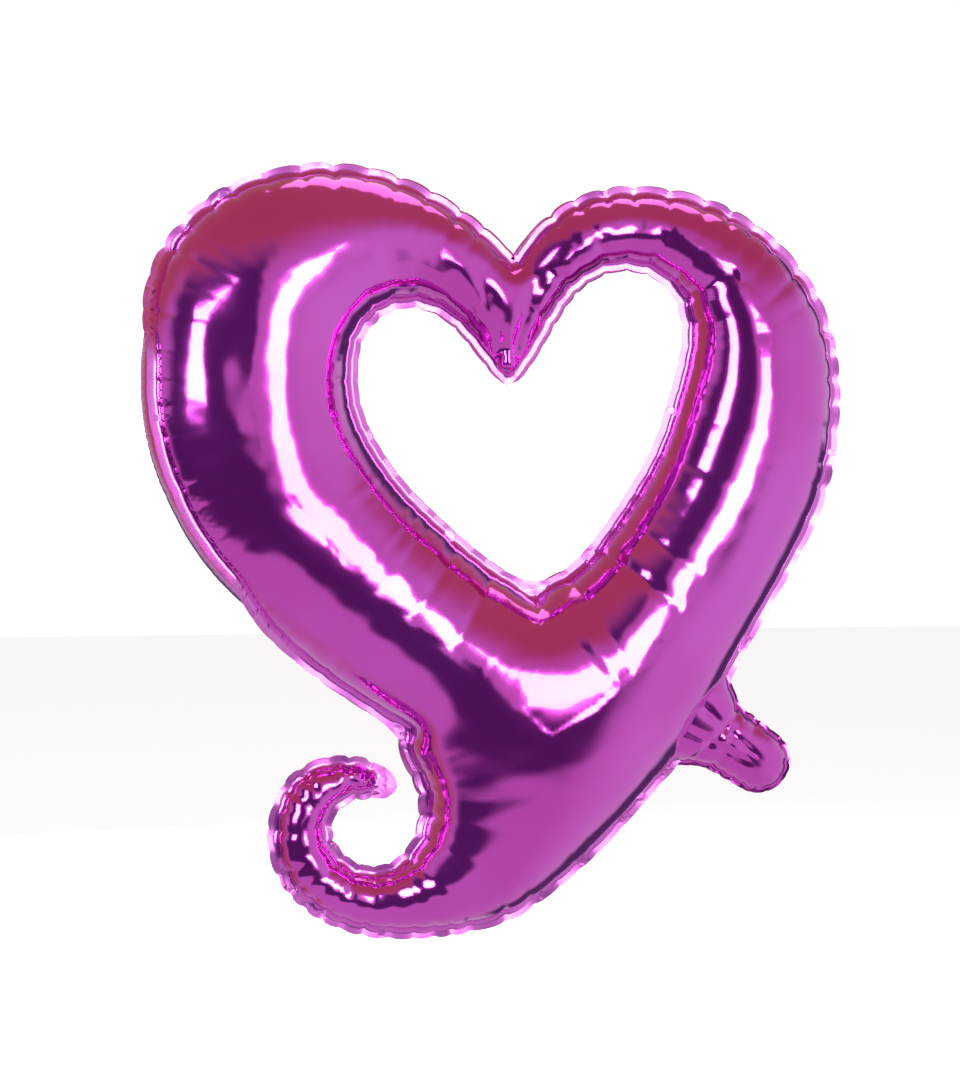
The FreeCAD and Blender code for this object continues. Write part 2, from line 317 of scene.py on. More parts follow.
# the heart's film, flat and then inflated
filmShape = {
    "gridStep": 0.0046,  # metres between points before the one halving
    "insets": (0.0003, 0.0012, 0.0028, 0.0052),  # extra rows beside the weld, where the film stands steep
    "softenEdge": 0.0018,
    "plump": 0.99,  # rise over half width on a slim stroke
    "plumpFall": 3.1,  # and how much less per metre of half width
    "plumpLimit": 0.075,
    "cleftPinch": 0.62,
    "cleftWidth": 0.016,
    "cleftBottom": (0.009, 0.1),  # the welds' points nearest to these are the cleft's ends
    "cleftTop": (0.013, 0.165),
    "seamDegrees": 34.0,  # how far the big lobe's outer seam lies turned towards the front
    "seamSwell": 0.14,  # and how much fuller the tube is behind it
    "tubeHalf": 0.0575,  # half width and rise of the big lobe's tube there
    "tubeRise": 0.0463,
    "skin": 0.00012,
    "margin": 0.006,  # width of the flat welded margin
    "waveGrows": 90,  # how much more the margin waves for each metre away from the weld
    "wobbles": ((0.00040, 0.075), (0.00007, 0.024)),  # height and length of the film's unevenness
}
cutOuter, weldOuter, weldOpening, cutOpening = panelLoops("front_panel")
step = filmShape["gridStep"]
soften = filmShape["softenEdge"]
cutOuter = evenly(cutOuter, step, soften)
cutOpening = evenly(cutOpening, step, soften)
weldOuter = evenly(weldOuter, step, soften)
weldOpening = evenly(weldOpening, step, soften)
flatPlaces, flatFaces = triangulate(
    [cutOuter, weldOuter, cutOpening, weldOpening], cutOpening, [weldOuter, weldOpening], [1, -1]
)
flatPlaces, flatFaces = halve(flatPlaces, flatFaces)
middles = flatPlaces[flatFaces].mean(axis=1)
puffed = insideLoop(middles, weldOuter) & ~insideLoop(middles, weldOpening)
inPuff = np.zeros(len(flatPlaces), bool)
inPuff[flatFaces[puffed]] = True
inMargin = np.zeros(len(flatPlaces), bool)
inMargin[flatFaces[~puffed]] = True
held = inMargin | ~inPuff
print("film mesh:", len(flatPlaces), "points,", len(flatFaces), "triangles")

u, area = membrane(flatPlaces, flatFaces[puffed], held, 2.0)
slope = slopeSquared(flatPlaces, flatFaces[puffed], area, u)
halfWidth = np.sqrt(np.maximum(u + slope / 4, 1e-8))
bottomOfCleft = weldOpening[np.argmin(np.linalg.norm(weldOpening - filmShape["cleftBottom"], axis=1))]
topOfCleft = weldOuter[np.argmin(np.linalg.norm(weldOuter - filmShape["cleftTop"], axis=1))]


def awayFrom(points, a, b):
    along = b - a
    t = np.clip(((points - a) @ along) / (along @ along), 0, 1)[:, None]
    return np.linalg.norm(points - (a + t * along), axis=1)


cleft = np.exp(-((awayFrom(flatPlaces, bottomOfCleft, topOfCleft) / filmShape["cleftWidth"]) ** 2))
rise = filmShape["plump"] - filmShape["plumpFall"] * np.minimum(halfWidth, filmShape["plumpLimit"])
load = 2 * rise**2 * (1 - (1 - filmShape["cleftPinch"] ** 2) * cleft)
u, area = membrane(flatPlaces, flatFaces[puffed], held, load)
height = np.sqrt(np.maximum(u, 0))
height[held] = 0
print("inflated to", round(height.max() * 1000, 1), "mm each side")


# gathers, folds and creases of the film, in metres
puckerShape = {
    "outer": {"spacing": 0.0175, "spread": 0.22, "depth": 0.0014, "reach": 0.0135, "wave": 0.0008},
    "opening": {"spacing": 0.0128, "spread": 0.25, "depth": 0.0006, "reach": 0.019, "wave": 0.00012},
}
foldShape = {
    "spacing": 0.024, "spread": 0.3, "depth": 0.0019, "reach": 0.055, "groove": 0.05, "begins": 0.006,
}
hookShape = {
    "spacing": 0.015,
    "spread": 0.35,
    "depth": 0.0009,
    "reach": 0.026,
    "groove": 0.03,
    "begins": 0.005,
    "curlMiddle": (-0.066, -0.153),  # the eye of the curl
    "curlInside": 0.032,
}
fineShape = {
    "spacing": 0.0085, "spread": 0.35, "depth": 0.00032, "reach": 0.034, "groove": 0.03, "begins": 0.008,
}
cleftShape = {
    "creases": [  # direction out of the tip in degrees, depth, reach in metres
        (149, 0.0020, 0.050),
        (136, 0.0032, 0.070),
        (122, 0.0030, 0.080),
        (107, 0.0032, 0.064),
        (72, 0.0032, 0.060),
        (57, 0.0022, 0.054),
    ],
    "creaseWidth": 0.0026,
    "widens": 0.030,
    "starts": 0.007,
    "nub": 0.0056,
    "nubAbove": 0.0050,
    "nubSize": 0.0062,
}


# a weld as an even line, with what each place on it needs
class EdgeLine:
    def __init__(self, loop, fromFilm, scaleAt, seed):
        self.line = evenly(loop, 0.0005, 0.0006)
        self.normals = outwardNormals(self.line, fromFilm)
        steps = np.linalg.norm(np.roll(self.line, -1, 0) - self.line, axis=1)
        self.run = np.concatenate([[0], np.cumsum(steps)[:-1]])
        self.length = steps.sum()
        self.tree = kdOf(self.line)
        self.scaleAt = scaleAt
        turning = np.roll(self.normals, -1, 0) - self.normals
        along = np.roll(self.line, -1, 0) - self.line
        bend = np.einsum("ij,ij->i", turning, along) / np.maximum(steps, 1e-9) ** 2
        wide = np.exp(-0.5 * (np.arange(-60, 61) / 22) ** 2)
        padded = np.concatenate([bend[-60:], bend, bend[:60]])
        self.bend = np.convolve(padded, wide / wide.sum(), mode="valid")
        self.random = np.random.default_rng(seed)

    def creases(self, look, strengthAt):
        # irregular places along the weld where the film gathers
        places, here = [], 0.0
        while here < self.length:
            index = int(here / self.length * len(self.line)) % len(self.line)
            local = look["spacing"] * self.scaleAt(self.line[index])
            here += local * (1 + look["spread"] * self.random.uniform(-1, 1))
            places.append(here)
        places = np.array(places) * self.length / places[-1]
        index = (places / self.length * len(self.line)).astype(int) % len(self.line)
        strength = strengthAt(self.line[index], self.bend[index])
        strength *= self.random.uniform(0.45, 1.35, len(places))
        return places, strength


def nearestEdge(points, edges):
    which = np.zeros(len(points), int)
    index = np.zeros(len(points), int)
    gap = np.full(len(points), 9.0)
    for e, edge in enumerate(edges):
        for i, p in enumerate(points):
            _, j, far = edge.tree.find((p[0], p[1], 0))
            if far < gap[i]:
                which[i], index[i], gap[i] = e, j, far
    return which, index, gap


def gathered(run, gap, creases, depth, reach, groove, salt):
    # pillows between the creases and a narrow groove along each, fading away from the weld
    places, strength = creases
    starts = np.concatenate([[0.0], places[:-1]])
    k = np.clip(np.searchsorted(places, run, side="right"), 0, len(places) - 1)
    f = np.clip((run - starts[k]) / (places[k] - starts[k]), 0, 1)
    previous = (k - 1) % len(places)
    local = strength[previous] * (1 - f) + strength[k] * f
    far = reach * (0.75 + 0.5 * salt[k % len(salt)])
    pillow = 1 - np.abs(2 * f - 1) ** 2.3 - 0.55
    fade = np.exp(-((gap / far) ** 1.25))
    toCrease = np.minimum(f, 1 - f) * (places[k] - starts[k])
    nearer = np.where(f < 0.5, strength[previous], strength[k])
    narrow = np.exp(-((toCrease / (0.0016 + 0.03 * gap)) ** 2))
    valley = narrow * np.exp(-gap / (groove * (0.6 + 0.8 * salt[(k + 3) % len(salt)])))
    return depth * (local * pillow * fade - 0.42 * nearer * valley)


def seamWave(run, creases, size, salt):
    places, strength = creases
    starts = np.concatenate([[0.0], places[:-1]])
    k = np.clip(np.searchsorted(places, run, side="right"), 0, len(places) - 1)
    f = np.clip((run - starts[k]) / (places[k] - starts[k]), 0, 1)
    sides = np.where(np.arange(len(places)) % 2 == 0, 1.0, -1.0) * strength
    ease = f * f * (3 - 2 * f)
    return size * (sides[(k - 1) % len(places)] * (1 - ease) + sides[k] * ease)


# the big lobe's outer seam lies turned towards the front
def seamTurn(points):
    # how far round its tube the seam lies, at each place of the outer weld
    x, z = points.T
    lobe = smoothStep(-x, 0.10, 0.155) * smoothStep(z, -0.085, -0.01) * (1 - smoothStep(z, 0.105, 0.185))
    return math.radians(filmShape["seamDegrees"]) * lobe


def outerStrength(points, bend):
    x, z = points.T
    convex = 0.30 + 0.75 * smoothStep(bend, 1.0, 9.0)
    curl = (z < -0.115) & (x < -0.02)
    convex = np.where(curl, 0.85, convex)
    straight = smoothStep(-bend, 1.0, 8.0) * ~curl
    turned = seamTurn(points) / math.radians(filmShape["seamDegrees"])
    return convex * (1 - 0.55 * straight) * (1 - 0.6 * turned)


def hookStrength(points, bend):
    # folds that run across the hook from the inside of its curl
    away = np.linalg.norm(points - np.array(hookShape["curlMiddle"]), axis=1)
    return 1 - smoothStep(away, hookShape["curlInside"], hookShape["curlInside"] + 0.014)


def openingStrength(points, bend):
    x, z = points.T
    top = smoothStep(z, 0.10, 0.135)
    return 0.55 + 0.9 * top


def foldStrength(points, bend):
    # the long folds that cross the ridge under the opening and on the slim lobe
    x, z = points.T
    under = (1 - smoothStep(z, 0.0, 0.035)) * smoothStep(x, -0.045, -0.015)
    slim = smoothStep(x, 0.02, 0.05) * smoothStep(z, 0.115, 0.14)
    return np.maximum(0.12, np.maximum(under, 0.85 * slim))


def fineStrength(points, bend):
    # short wrinkles on the big lobe's inner side
    x, z = points.T
    return 0.25 + 0.75 * smoothStep(-x, 0.0, 0.03) * smoothStep(z, -0.02, 0.03)


def cleftFan(points):
    # creases that fan out of the cleft's tip, and the small puffed nub that closes it
    look = cleftShape
    away = points - bottomOfCleft
    far = np.linalg.norm(away, axis=1)
    turn = np.degrees(np.arctan2(away[:, 1], away[:, 0]))
    total = np.zeros(len(points))
    for degrees, depth, reach in look["creases"]:
        across = np.radians(turn - degrees) * far
        width = look["creaseWidth"] * (0.6 + far / look["widens"])
        begins = smoothStep(far, look["starts"], 2.2 * look["starts"])
        total -= depth * np.exp(-((across / width) ** 2)) * begins * np.exp(-((far / reach) ** 4))
    nub = bottomOfCleft + np.array([0.0, look["nubAbove"]])
    return total + look["nub"] * np.exp(-((np.linalg.norm(points - nub, axis=1) / look["nubSize"]) ** 2))


def closerInHook(place):
    # how much closer together the outer weld's gathers stand
    return 0.72 if place[1] < -0.115 and place[0] < -0.02 else 1.0


outerEdge = EdgeLine(weldOuter, 1, closerInHook, 11)
openingEdge = EdgeLine(weldOpening, -1, lambda place: 1.0, 23)
edgesOfFilm = [outerEdge, openingEdge]
which, index, gap = nearestEdge(flatPlaces, edgesOfFilm)
beside = [edge.line[np.minimum(index, len(edge.line) - 1)] for edge in edgesOfFilm]
beside = np.where((which == 0)[:, None], beside[0], beside[1])
outward = [edge.normals[np.minimum(index, len(edge.line) - 1)] for edge in edgesOfFilm]
outward = np.where((which == 0)[:, None], outward[0], outward[1])
run = np.where(
    which == 0,
    outerEdge.run[np.minimum(index, len(outerEdge.run) - 1)],
    openingEdge.run[np.minimum(index, len(openingEdge.run) - 1)],
)
outerCreases = outerEdge.creases(puckerShape["outer"], outerStrength)
openingCreases = openingEdge.creases(puckerShape["opening"], openingStrength)
foldCreases = openingEdge.creases(foldShape, foldStrength)
hookCreases = outerEdge.creases(hookShape, hookStrength)
fineCreases = openingEdge.creases(fineShape, fineStrength)
print("creases:", len(outerCreases[0]), "outer,", len(openingCreases[0]), "round the opening")


def slideRound(reach, depth, turn):
    # slides points round the tube's own ellipse, so the bulge keeps its shape
    across, rise = reach / filmShape["tubeHalf"], depth / filmShape["tubeRise"]
    ring = np.hypot(across, rise)
    angle = np.arctan2(-rise, across)
    near = np.clip(1 - np.abs(angle) / (math.pi / 2), 0, 1)
    angle = angle + turn * near
    ring = ring * (1 + filmShape["seamSwell"] * turn * near * near * (3 - 2 * near))
    return ring * np.cos(angle) * filmShape["tubeHalf"], -ring * np.sin(angle) * filmShape["tubeRise"]


turnBy = seamTurn(beside) * (which == 0)


def wobble(places, seed, size, length, count=7):
    random = np.random.default_rng(seed)
    total = np.zeros(len(places))
    for _ in range(count):
        direction = random.normal(size=3)
        direction *= 2 * math.pi / (length * random.uniform(0.7, 1.4)) / np.linalg.norm(direction)
        total += np.sin(places @ direction + random.uniform(0, 6.28))
    return size * total / math.sqrt(count)


def inflatedFilm(side, seed):
    # side -1 is the front film, +1 the rear
    random = np.random.default_rng(seed)
    salt = random.uniform(0, 1, 97)
    places = np.stack([flatPlaces[:, 0], side * height, flatPlaces[:, 1]], axis=1)
    order = flatFaces if side > 0 else flatFaces[:, ::-1]
    normals = vertexNormals(places, order[puffed])
    if (normals[:, 1] * side).sum() < 0:
        order = order[:, ::-1]
        normals = -normals
    flatOut = np.stack([outward[:, 0], np.zeros(len(outward)), outward[:, 1]], axis=1)
    normals[held] = flatOut[held]
    along = np.where(inPuff & ~held, np.hypot(gap, height), 0.0)
    outer = which == 0
    push = np.zeros(len(places))
    wave = np.zeros(len(places))
    for chosen, look, creases in (
        (outer, puckerShape["outer"], outerCreases),
        (~outer, puckerShape["opening"], openingCreases),
    ):
        push[chosen] = gathered(
            run[chosen], along[chosen], creases, look["depth"], look["reach"], look["reach"] * 1.5, salt
        )
        wave[chosen] = seamWave(run[chosen], creases, look["wave"], salt)
    # long folds from the opening over the ridge, folds round the hook, fine wrinkles on the big lobe
    for chosen, look, creases in (
        (~outer, foldShape, foldCreases),
        (outer, hookShape, hookCreases),
        (~outer, fineShape, fineCreases),
    ):
        folds = gathered(run, along, creases, look["depth"], look["reach"], look["groove"], salt)
        push += np.where(chosen, folds, 0) * (1 - np.exp(-along / look["begins"]))
    inside = np.where(held, 0, 1 - np.exp(-along / 0.012))
    for more, (size, length) in enumerate(filmShape["wobbles"]):
        push += inside * wobble(places, seed + 5 + more, size, length)
    push += cleftFan(flatPlaces) * (1 - np.exp(-along / 0.005)) * ~held
    marginFar = np.where(held, np.minimum(gap, filmShape["margin"]), 0)
    places += normals * push[:, None]
    places[:, 1] += wave * np.exp(-along / 0.010) * (1 + filmShape["waveGrows"] * marginFar)
    places[:, 1] += side * filmShape["skin"] * held
    centre = beside - outward * filmShape["tubeHalf"]
    reach = np.einsum("ij,ij->i", places[:, [0, 2]] - centre, outward)
    newReach, places[:, 1] = slideRound(reach, places[:, 1], turnBy)
    places[:, 0] += (newReach - reach) * outward[:, 0]
    places[:, 2] += (newReach - reach) * outward[:, 1]
    return places, order.tolist()


def makeMesh(name, places, faces):
    mesh = bpy.data.meshes.new(name)
    mesh.from_pydata(places.tolist(), [], faces)
    mesh.validate()
    mesh.polygons.foreach_set("use_smooth", [True] * len(mesh.polygons))
    piece = bpy.data.objects.new(name, mesh)
    bpy.context.scene.collection.objects.link(piece)
    return piece


frontFilm = makeMesh("front_film", *inflatedFilm(-1, 101))
rearFilm = makeMesh("rear_film", *inflatedFilm(1, 202))

# the puffed neck and tail
tongueShape = {
    "root": -0.0300,  # metres along the neck from the fold line, inside the heart's gas space
    "rootHalf": 0.0370,
    "foldHalf": 0.0215,
    "tipHalf": 0.0190,
    "length": 0.0468,
    "margin": 0.0026,
    "plump": 0.86,
    "step": 0.0019,
    "insets": (0.0002, 0.0007, 0.0016),
    "gridInset": 0.0028,
    "lineStep": 0.0004,
    "scallop": 0.0095,
    "depth": 0.0008,
    "reach": 0.006,
    "groove": 0.009,
    "wave": 0.0004,
    "begins": 0.004,
    "wobble": (0.0003, 0.016),
    "longCreases": ((-0.007, 0.12, 0.0013), (0.0045, -0.14, 0.0015)),  # offset, tilt, depth
    "longWidth": 0.0030,
    "crossCreases": ((-0.0045, 0.15, 0.0013), (0.0035, -0.2, 0.0008)),
    "crossWidth": 0.0027,
    "blendHalf": 0.006,  # metres of sheet on each side of the fold line that bend with it
}


def tongueOutline(inset):
    look = tongueShape
    tip, half = look["length"] - inset, look["tipHalf"] - inset
    shoulder = look["length"] - look["tipHalf"]
    arc = [
        (shoulder + (tip - shoulder) * math.sin(a), half * math.cos(a))
        for a in np.linspace(0, math.pi, 40)
    ]
    stations = np.linspace(0, 1, 24)
    flare = (1 - smoothStep(stations, 0.0, 0.62)) * (look["rootHalf"] - look["foldHalf"])
    sides = [
        (
            look["root"] + (shoulder - look["root"]) * t,
            look["foldHalf"] + (look["tipHalf"] - look["foldHalf"]) * t * t + f - inset,
        )
        for t, f in zip(stations[:-1], flare)
    ]
    return np.array(sides + arc + [(x, -z) for x, z in reversed(sides)])


def openRow(points, step):
    run = np.concatenate([[0], np.cumsum(np.linalg.norm(np.diff(points, axis=0), axis=1))])
    at = np.linspace(0, run[-1], int(round(run[-1] / step)) + 1)
    return np.stack([np.interp(at, run, points[:, k]) for k in (0, 1)], axis=1)


def tongueFilm(side, seed):
    look = tongueShape
    step = look["step"]
    cut = openRow(tongueOutline(0.0), step)
    weld = openRow(tongueOutline(look["margin"]), step)
    rows = []
    for inset in look["insets"]:
        rows.append(openRow(tongueOutline(look["margin"] + inset), step)[1:-1])
    grid = hexPoints(cut.min(0), cut.max(0), step)
    inner = tongueOutline(look["margin"] + look["gridInset"])
    grid = grid[insideLoop(grid, inner)]
    mouth = openRow(np.array([weld[0], weld[-1]]), step)[1:-1]
    points = np.concatenate([cut, weld, mouth] + rows + [grid])
    n, m = len(cut), len(weld)
    edges = [(i, i + 1) for i in range(n - 1)] + [(n + i, n + i + 1) for i in range(m - 1)]
    edges += [(0, n), (n - 1, n + m - 1)]
    result = delaunay_2d_cdt([Vector(p) for p in points], edges, [], 0, 1e-9)
    flat = np.array([tuple(v) for v in result[0]])
    faces = np.array([f for f in result[2] if len(f) == 3])
    faces = faces[insideLoop(flat[faces].mean(axis=1), cut)]
    flat, faces = halve(flat, faces)
    middle = flat[faces].mean(axis=1)
    inside = insideLoop(middle, weld)
    isIn = np.zeros(len(flat), bool)
    isIn[faces[inside]] = True
    isOut = np.zeros(len(flat), bool)
    isOut[faces[~inside]] = True
    fixed = isOut | ~isIn
    v, _ = membrane(flat, faces[inside], fixed, 2 * look["plump"] ** 2)
    rise = np.sqrt(np.maximum(v, 0))
    rise[fixed] = 0
    places = np.stack([flat[:, 0], side * rise, flat[:, 1]], axis=1)
    order = faces
    normals = vertexNormals(places, order[inside])
    if (normals[:, 1] * side).sum() < 0:
        order, normals = order[:, ::-1], -normals
    # scallops beside the weld, long creases out of the neck, a gathered root
    line = openRow(tongueOutline(look["margin"]), look["lineStep"])
    tree = kdOf(line)
    found = [tree.find((p[0], p[1], 0)) for p in flat]
    at = np.array([f[1] for f in found])
    far = np.array([f[2] for f in found])
    along = np.roll(line, -1, 0) - np.roll(line, 1, 0)
    along[0], along[-1] = along[1], along[-2]
    along /= np.linalg.norm(along, axis=1)[:, None]
    out = np.stack([along[:, 1], -along[:, 0]], axis=1)[at]
    out *= np.sign(np.einsum("ij,ij->i", out, line[at] - np.array([0.015, 0.0])))[:, None]
    normals[fixed] = np.stack([out[:, 0], np.zeros(len(out)), out[:, 1]], axis=1)[fixed]
    random = np.random.default_rng(seed)
    run = at * look["lineStep"]
    spots, strength = [], []
    here = 0.0
    while here < run.max():
        here += look["scallop"] * random.uniform(0.7, 1.3)
        spots.append(here)
        strength.append(random.uniform(0.5, 1.3))
    creases = np.array(spots), np.array(strength)
    salt = random.uniform(0, 1, 31)
    deep = np.where(fixed, 0.0, np.hypot(far, rise))
    push = gathered(run, deep, creases, look["depth"], look["reach"], look["groove"], salt)
    x, z = flat.T
    crease = np.zeros(len(flat))
    shorter = 1 - smoothStep(x, 0.012, 0.034)
    for offset, tilt, deepness in look["longCreases"]:
        crease -= deepness * np.exp(-(((z - offset - tilt * x) / look["longWidth"]) ** 2)) * shorter
    for offset, tilt, deepness in look["crossCreases"]:
        crease -= deepness * np.exp(-(((x - offset - tilt * z) / look["crossWidth"]) ** 2))
    nearWeld = np.exp(-deep / look["begins"])
    push += crease * (1 - nearWeld)
    push += (1 - nearWeld) * wobble(places, seed, *look["wobble"])
    places = places + normals * push[:, None]
    places[:, 1] += seamWave(run, creases, look["wave"], salt) * nearWeld
    places[:, 1] += side * filmShape["skin"] * 2.2 * fixed
    world = (
        foldPoint[None, :]
        + places[:, :1] * tailOut[None, :]
        + places[:, 1:2] * np.array([[0.0, 1.0, 0.0]])
        + places[:, 2:] * foldAxis[None, :]
    )
    return world, order.tolist()


tailFront = makeMesh("tail_front_sheet", *tongueFilm(-1, 303))
tailRear = makeMesh("tail_rear_sheet", *tongueFilm(1, 404))


# weld ribbons, the fused band between the films
ribbonShape = {
    "every": 4,  # of the weld's points, how many are stepped over
    "starts": 0.0004,
    "width": 0.0061,
    "halfThick": 0.00006,
    "neckHalf": 0.0245,  # the outer ribbon is left out this far each side of the neck's middle
}


def weldRibbon(name, edge, creases, look, skip):
    # a thin band that follows the waving margin of both films
    ids = np.arange(0, len(edge.line), ribbonShape["every"])
    base = edge.line[ids]
    keep = ~skip(base)
    if not keep.all():
        first = int(np.argmin(keep))
        order = np.roll(np.arange(len(ids)), -first)
        order = order[keep[order]]
        ids, base, closed = ids[order], base[order], False
    else:
        closed = True
    out = edge.normals[ids]
    salt = np.random.default_rng(5).uniform(0, 1, 97)
    zero = np.zeros(len(ids))
    push = gathered(edge.run[ids], zero, creases, look["depth"], look["reach"], look["reach"] * 1.5, salt)
    wave = seamWave(edge.run[ids], creases, look["wave"], salt)
    turn = seamTurn(base) * (edge is outerEdge)
    half = filmShape["tubeHalf"]
    rows = []
    width = ribbonShape["width"]
    across = (ribbonShape["starts"], 0.5 * width, width)
    for far, side in [(far, -1) for far in across] + [(far, 1) for far in across[::-1]]:
        y = wave * (1 + filmShape["waveGrows"] * far) + side * ribbonShape["halfThick"]
        newReach, y = slideRound(half + push + far, y, turn)
        spot = base + out * (newReach - half)[:, None]
        rows.append(np.stack([spot[:, 0], y, spot[:, 1]], axis=1))
    places = np.concatenate(rows)
    n, faces = len(ids), []
    last = n if closed else n - 1
    for r in range(6):
        s = (r + 1) % 6
        for i in range(last):
            j = (i + 1) % n
            faces.append((r * n + i, r * n + j, s * n + j, s * n + i))
    if not closed:
        faces.append(tuple(r * n for r in range(6)))
        faces.append(tuple(r * n + n - 1 for r in reversed(range(6))))
    return makeMesh(name, places, faces)


outerWeld = weldRibbon(
    "outer_weld", outerEdge, outerCreases, puckerShape["outer"],
    lambda base: np.linalg.norm(base - foldPoint[[0, 2]], axis=1) < ribbonShape["neckHalf"],
)
openingWeld = weldRibbon(
    "opening_weld", openingEdge, openingCreases, puckerShape["opening"],
    lambda base: np.zeros(len(base), bool),
)

for piece, node, body in (
    (frontFilm, "front_panel", "balloon"),
    (rearFilm, "rear_panel", "balloon"),
    (outerWeld, "outer_seam", "balloon"),
    (openingWeld, "opening_seam", "balloon"),
):
    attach(piece, body)
    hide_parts(node)
for piece, node in ((tailFront, "tail_front_film"), (tailRear, "tail_rear_film")):
    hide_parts(node)
    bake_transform(piece)
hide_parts("tail_side_seams")
print("pieces in place")


# materials
class Wire:
    # a socket that takes part in sums; each sum adds its Math node
    def __init__(self, recipe, socket):
        self.recipe, self.socket = recipe, socket

    def sum(self, operation, first, second):
        return self.recipe.node("ShaderNodeMath", {"operation": operation}, {0: first, 1: second})

    def __add__(self, other):
        return self.sum("ADD", self, other)

    def __sub__(self, other):
        return self.sum("SUBTRACT", self, other)

    def __mul__(self, other):
        return self.sum("MULTIPLY", self, other)

    def __rsub__(self, other):
        return self.sum("SUBTRACT", other, self)

    __radd__, __rmul__ = __add__, __mul__


class Recipe:
    def __init__(self, tree):
        self.tree = tree

    def node(self, kind, settings, values, output=0):
        made = self.tree.nodes.new(kind)
        for key, value in settings.items():
            setattr(made, key, value)
        self.feed(made, values)
        return Wire(self, made.outputs[output])

    def feed(self, made, values):
        for key, value in values.items():
            if isinstance(value, Wire):
                self.tree.links.new(value.socket, made.inputs[key])
            else:
                made.inputs[key].default_value = value

    def blend(self, factor, first, second):
        return self.node(
            "ShaderNodeMix", {"data_type": "RGBA"}, {0: factor, 6: first, 7: second}, 2
        )

    def between(self, value, low, high):
        return self.node(
            "ShaderNodeMapRange", {"interpolation_type": "SMOOTHSTEP"},
            {"Value": value, "From Min": low, "From Max": high, "To Min": 0.0, "To Max": 1.0},
        )


def material(name, fixed):
    made = bpy.data.materials.new(name)
    made.use_nodes = True
    shader = made.node_tree.nodes["Principled BSDF"]
    for key, value in fixed.items():
        shader.inputs[key].default_value = value
    recipe = Recipe(made.node_tree)
    return made, recipe, shader


foilLook = {
    "colour": (0.78, 0.105, 0.74, 1),
    # paler: a painted highlight laid on the flat welded margin
    "paler": (0.88, 0.26, 0.84, 1),
    "deeper": (0.72, 0.070, 0.63, 1),
    "roughness": 0.085,
    "welded": 0.20,
}


def magentaFoil():
    made, recipe, shader = material("magentaFoil", {
        "Metallic": 1.0, "Coat Weight": 1.0, "Coat Roughness": 0.035, "Coat IOR": 1.5,
    })
    place = recipe.node("ShaderNodeTexCoord", {}, {}, 3)
    margin = recipe.node("ShaderNodeAttribute", {"attribute_name": "margin"}, {}, 2)
    gather = recipe.node("ShaderNodeAttribute", {"attribute_name": "gather"}, {}, 2)
    cloudy = recipe.node("ShaderNodeTexNoise", {}, {"Vector": place, "Scale": 9.0, "Detail": 3.0})
    fine = recipe.node("ShaderNodeTexNoise", {}, {"Vector": place, "Scale": 150.0, "Detail": 4.0})
    crinkle = recipe.node(
        "ShaderNodeTexNoise", {"noise_type": "RIDGED_MULTIFRACTAL"},
        {"Vector": place, "Scale": 42.0, "Detail": 2.0},
    )
    tone = recipe.blend(recipe.between(cloudy, 0.35, 0.7), foilLook["deeper"], foilLook["colour"])
    # painted highlight: the flat welded margin is blended towards the paler pink; its extra roughness and
    # emboss lines below are the seal's own finish
    tone = recipe.blend(margin * 0.75, tone, foilLook["paler"])
    rough = foilLook["roughness"] + (fine * 0.05) + margin * foilLook["welded"] + gather * 0.03
    lines = recipe.node("ShaderNodeAttribute", {"attribute_name": "emboss"}, {}, 2)
    relief = (crinkle * 0.35) * gather + fine * 0.03 + lines * margin
    bump = recipe.node(
        "ShaderNodeBump", {}, {"Height": relief, "Strength": 0.22, "Distance": 0.0012},
    )
    recipe.feed(shader, {"Base Color": tone, "Roughness": rough, "Normal": bump})
    return made


weldLook = {
    "deeper": (0.78, 0.14, 0.66, 1),
    "paler": (0.92, 0.34, 0.82, 1),
    "smoothest": 0.25,
    "uneven": 0.15,
}


def heatWeld():
    made, recipe, shader = material("heatWeld", {"Metallic": 1.0, "Coat Weight": 0.6, "Coat Roughness": 0.12})
    place = recipe.node("ShaderNodeTexCoord", {}, {}, 3)
    grain = recipe.node("ShaderNodeTexNoise", {}, {"Vector": place, "Scale": 300.0, "Detail": 2.0})
    tone = recipe.blend(grain, weldLook["deeper"], weldLook["paler"])
    rough = grain * weldLook["uneven"] + weldLook["smoothest"]
    recipe.feed(shader, {"Base Color": tone, "Roughness": rough})
    return made


valveLook = {"thin": (0.72, 0.72, 0.78, 1), "milky": (0.90, 0.90, 0.94, 1), "smoothest": 0.12, "uneven": 0.2}


def clearValve():
    made, recipe, shader = material("milkyValveFilm", {
        "IOR": 1.5, "Transmission Weight": 0.6, "Specular IOR Level": 0.5,
    })
    place = recipe.node("ShaderNodeTexCoord", {}, {}, 3)
    haze = recipe.node("ShaderNodeTexNoise", {}, {"Vector": place, "Scale": 120.0, "Detail": 3.0})
    tone = recipe.blend(haze, valveLook["thin"], valveLook["milky"])
    rough = haze * valveLook["uneven"] + valveLook["smoothest"]
    recipe.feed(shader, {"Base Color": tone, "Roughness": rough})
    return made


printLook = {"dots": (0.10, 0.16, 0.36, 1), "gaps": (0.20, 0.27, 0.50, 1), "smoothest": 0.45, "uneven": 0.2}


def releasePrint():
    made, recipe, shader = material("releasePrint", {"Specular IOR Level": 0.3})
    place = recipe.node("ShaderNodeTexCoord", {}, {}, 3)
    dots = recipe.node("ShaderNodeTexVoronoi", {}, {"Vector": place, "Scale": 900.0})
    tone = recipe.blend(recipe.between(dots, 0.2, 0.5), printLook["dots"], printLook["gaps"])
    rough = dots * printLook["uneven"] + printLook["smoothest"]
    recipe.feed(shader, {"Base Color": tone, "Roughness": rough})
    return made


def store(piece, name, values):
    layer = piece.data.attributes.new(name, "FLOAT", "POINT")
    layer.data.foreach_set("value", np.asarray(values, np.float32))


